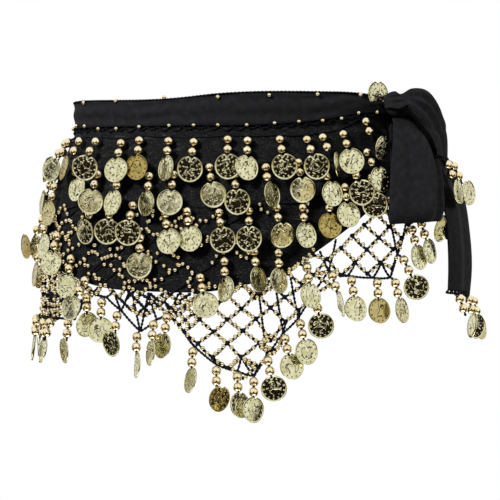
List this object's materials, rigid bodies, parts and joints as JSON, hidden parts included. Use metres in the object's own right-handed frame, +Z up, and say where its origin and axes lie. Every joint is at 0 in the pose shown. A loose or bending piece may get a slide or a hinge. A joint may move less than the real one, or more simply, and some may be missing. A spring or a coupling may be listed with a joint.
{
  "type": "coin hip scarf in its worn form",
  "caption": "Black cloth hip scarf in the ring it forms when worn, tied in a half bow, with rows of hanging coins and an open net below the pointed hem.",
  "frame": {"origin": "middle of the ring of cloth at the height of the waistband, where a wearer's waist holds it", "axes": "+Z up, -Y the front, +X the side of the tied bow"},
  "size_m": [0.4014, 0.2776, 0.2816],
  "materials": {
    "velvet": "crushed velvet, near black",
    "chiffon": "matt chiffon, near black",
    "cord": "matt crochet cord",
    "gold": "pale gold plate, bright"
  },
  "bodies": {
    "root": {"waistband": "chiffon", "panel": "velvet", "row_1": "gold", "row_2": "gold", "row_3": "gold", "row_4": "gold", "net_front": "cord", "net_side": "cord", "net_fringe": "gold", "knot": "chiffon", "loop": "chiffon", "short_tail": "chiffon", "long_tail": "chiffon", "short_tail_fringe": "gold", "long_tail_fringe": "gold", "tucked_coin": "gold"}
  },
  "joints": []
}
